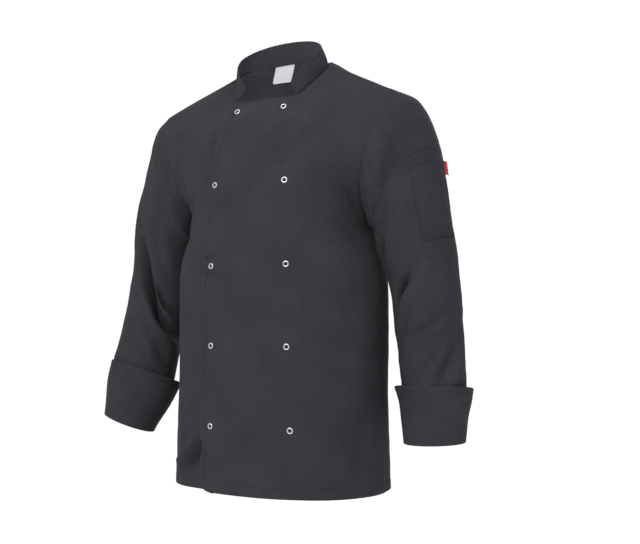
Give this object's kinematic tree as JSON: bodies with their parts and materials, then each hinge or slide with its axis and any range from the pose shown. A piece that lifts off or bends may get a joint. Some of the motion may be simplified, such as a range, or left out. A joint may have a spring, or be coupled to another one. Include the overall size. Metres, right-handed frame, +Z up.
{
  "type": "chef jacket",
  "caption": "Double-breasted chef jacket in dark grey twill with a stand collar, ring snaps, turned-back cuffs and a sleeve pocket, hollow and filled out as if worn.",
  "frame": {"origin": "the middle of the neck opening, level with the points where the shoulder seams meet the neck", "axes": "+Z up the wearer's back, -Y the way the wearer faces, +X the wearer's left"},
  "size_m": [0.6976, 0.2741, 0.8241],
  "materials": {
    "twill": "charcoal cotton and polyester twill, matt with a faint sheen",
    "snap_metal": "polished ring snaps",
    "tab_tape": "plain red woven tape",
    "label_satin": "plain pale satin, left bare"
  },
  "bodies": {
    "root": {"back": "twill", "front_left": "twill", "front_right": "twill", "sleeve_left": "twill", "sleeve_right": "twill", "cuff_left": "twill", "cuff_right": "twill", "sleeve_pocket": "twill", "pocket_tab": "tab_tape", "collar": "twill", "neck_label": "label_satin", "snap_1_left": "snap_metal", "snap_1_right": "snap_metal", "snap_2_left": "snap_metal", "snap_2_right": "snap_metal", "snap_3_left": "snap_metal", "snap_3_right": "snap_metal", "snap_4_left": "snap_metal", "snap_4_right": "snap_metal", "snap_5_left": "snap_metal", "snap_5_right": "snap_metal"}
  },
  "joints": []
}
